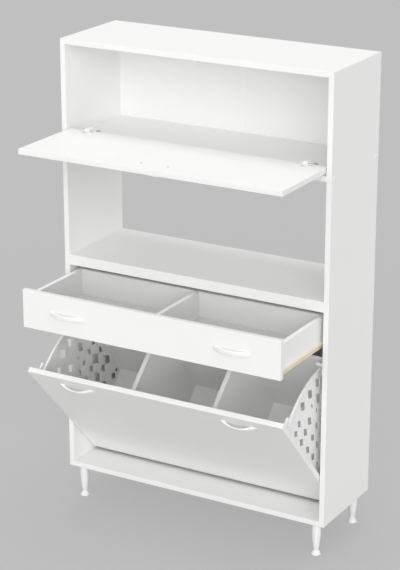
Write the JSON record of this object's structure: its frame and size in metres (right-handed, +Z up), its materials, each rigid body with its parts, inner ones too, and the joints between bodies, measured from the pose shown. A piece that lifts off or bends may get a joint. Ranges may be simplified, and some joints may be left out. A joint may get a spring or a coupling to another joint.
{
  "type": "kitchen cabinet",
  "caption": "Tall white kitchen cabinet on tapered legs with a drop flap, an open niche, a wide drawer and a tilt-out bin with perforated cheeks.",
  "frame": {"origin": "on the floor, in the middle of the box round the cabinet as it stands open", "axes": "+X to the cabinet's right as seen from the front, +Y to its back, +Z up"},
  "size_m": [1.0024, 0.647, 1.65],
  "materials": {
    "white_board": "satin white melamine",
    "white_board_inner": "satin white melamine",
    "white_hardboard": "painted hardboard",
    "white_plastic": "satin",
    "gloss_white_plastic": "semi-gloss",
    "nickel_steel": "nickel plated",
    "cream_steel": "powder coat",
    "beech": "raw"
  },
  "bodies": {
    "carcass": {"left_side_panel": "white_board", "right_side_panel": "white_board", "top_panel": "white_board", "bottom_panel": "white_board", "flap_shelf": "white_board", "counter_shelf": "white_board", "upper_back_left": "white_hardboard", "upper_back_right": "white_hardboard", "lower_back_left": "white_hardboard", "lower_back_right": "white_hardboard", "back_joiners": "white_plastic", "stop_pegs": "white_plastic", "screw_caps": "white_plastic", "magnet_catch": "white_plastic", "leg_front_left": "gloss_white_plastic", "leg_front_right": "gloss_white_plastic", "leg_back_left": "gloss_white_plastic", "leg_back_right": "gloss_white_plastic", "leg_glides": "gloss_white_plastic", "shelf_screws": "nickel_steel", "cam_bolts": "nickel_steel", "counter_cams": "nickel_steel", "hinge_arms": "nickel_steel", "hinge_arm_screws": "nickel_steel", "rail_screws": "nickel_steel", "bin_pivot_pins": "nickel_steel", "cabinet_rail_left": "cream_steel", "cabinet_rail_right": "cream_steel", "panel_dowels": "beech"},
    "flap": {"flap": "white_board", "flap_handle": "gloss_white_plastic", "flap_handle_screws": "nickel_steel", "strike_plate": "nickel_steel", "hinge_cups": "nickel_steel", "hinge_pins": "nickel_steel", "hinge_cup_screws": "nickel_steel"},
    "drawer": {"drawer_front": "white_board", "drawer_left_side": "white_board_inner", "drawer_right_side": "white_board_inner", "drawer_back": "white_board_inner", "drawer_divider": "white_board_inner", "drawer_bottom": "white_hardboard", "drawer_handle_left": "gloss_white_plastic", "drawer_handle_right": "gloss_white_plastic", "drawer_handle_screws": "nickel_steel", "drawer_rail_left": "cream_steel", "drawer_rail_right": "cream_steel"},
    "front_rollers": {"front_rollers": "white_plastic"},
    "rear_rollers": {"rear_rollers": "white_plastic"},
    "bin": {"bin_door": "white_board", "bin_handle_left": "gloss_white_plastic", "bin_handle_right": "gloss_white_plastic", "bin_handle_screws": "nickel_steel", "bin_floor": "white_board_inner", "bin_back": "white_board_inner", "bin_dividers": "white_board_inner", "bin_cheek_left": "white_plastic", "bin_cheek_right": "white_plastic", "bin_fingers": "white_plastic"}
  },
  "joints": [
    {"name": "flap_hinge", "type": "hinge", "parent": "carcass", "child": "flap", "pos_m": [0, -0.0125, 1.336], "axis": [-1, 0, 0], "range_deg": [0, 90]},
    {"name": "drawer_slide", "type": "slide", "parent": "carcass", "child": "drawer", "axis": [0, 1, 0], "range_m": [0, 0.284]},
    {"name": "bin_tilt", "type": "hinge", "parent": "carcass", "child": "bin", "pos_m": [0, 0.0505, 0.312], "axis": [-1, 0, 0], "range_deg": [0, 43]},
    {"name": "front_roller_turn", "type": "hinge", "parent": "carcass", "child": "front_rollers", "pos_m": [0, 0.0061, 0.7565], "axis": [-1, 0, 0], "range_deg": [0, 2360]},
    {"name": "rear_roller_turn", "type": "hinge", "parent": "drawer", "child": "rear_rollers", "pos_m": [0, 0.0215, 0.7565], "axis": [-1, 0, 0], "range_deg": [0, 2360]}
  ],
  "couplings": [
    {"joint": "front_roller_turn", "follows": "drawer_slide", "rad_per_m": 144.93},
    {"joint": "rear_roller_turn", "follows": "drawer_slide", "rad_per_m": 144.93}
  ]
}
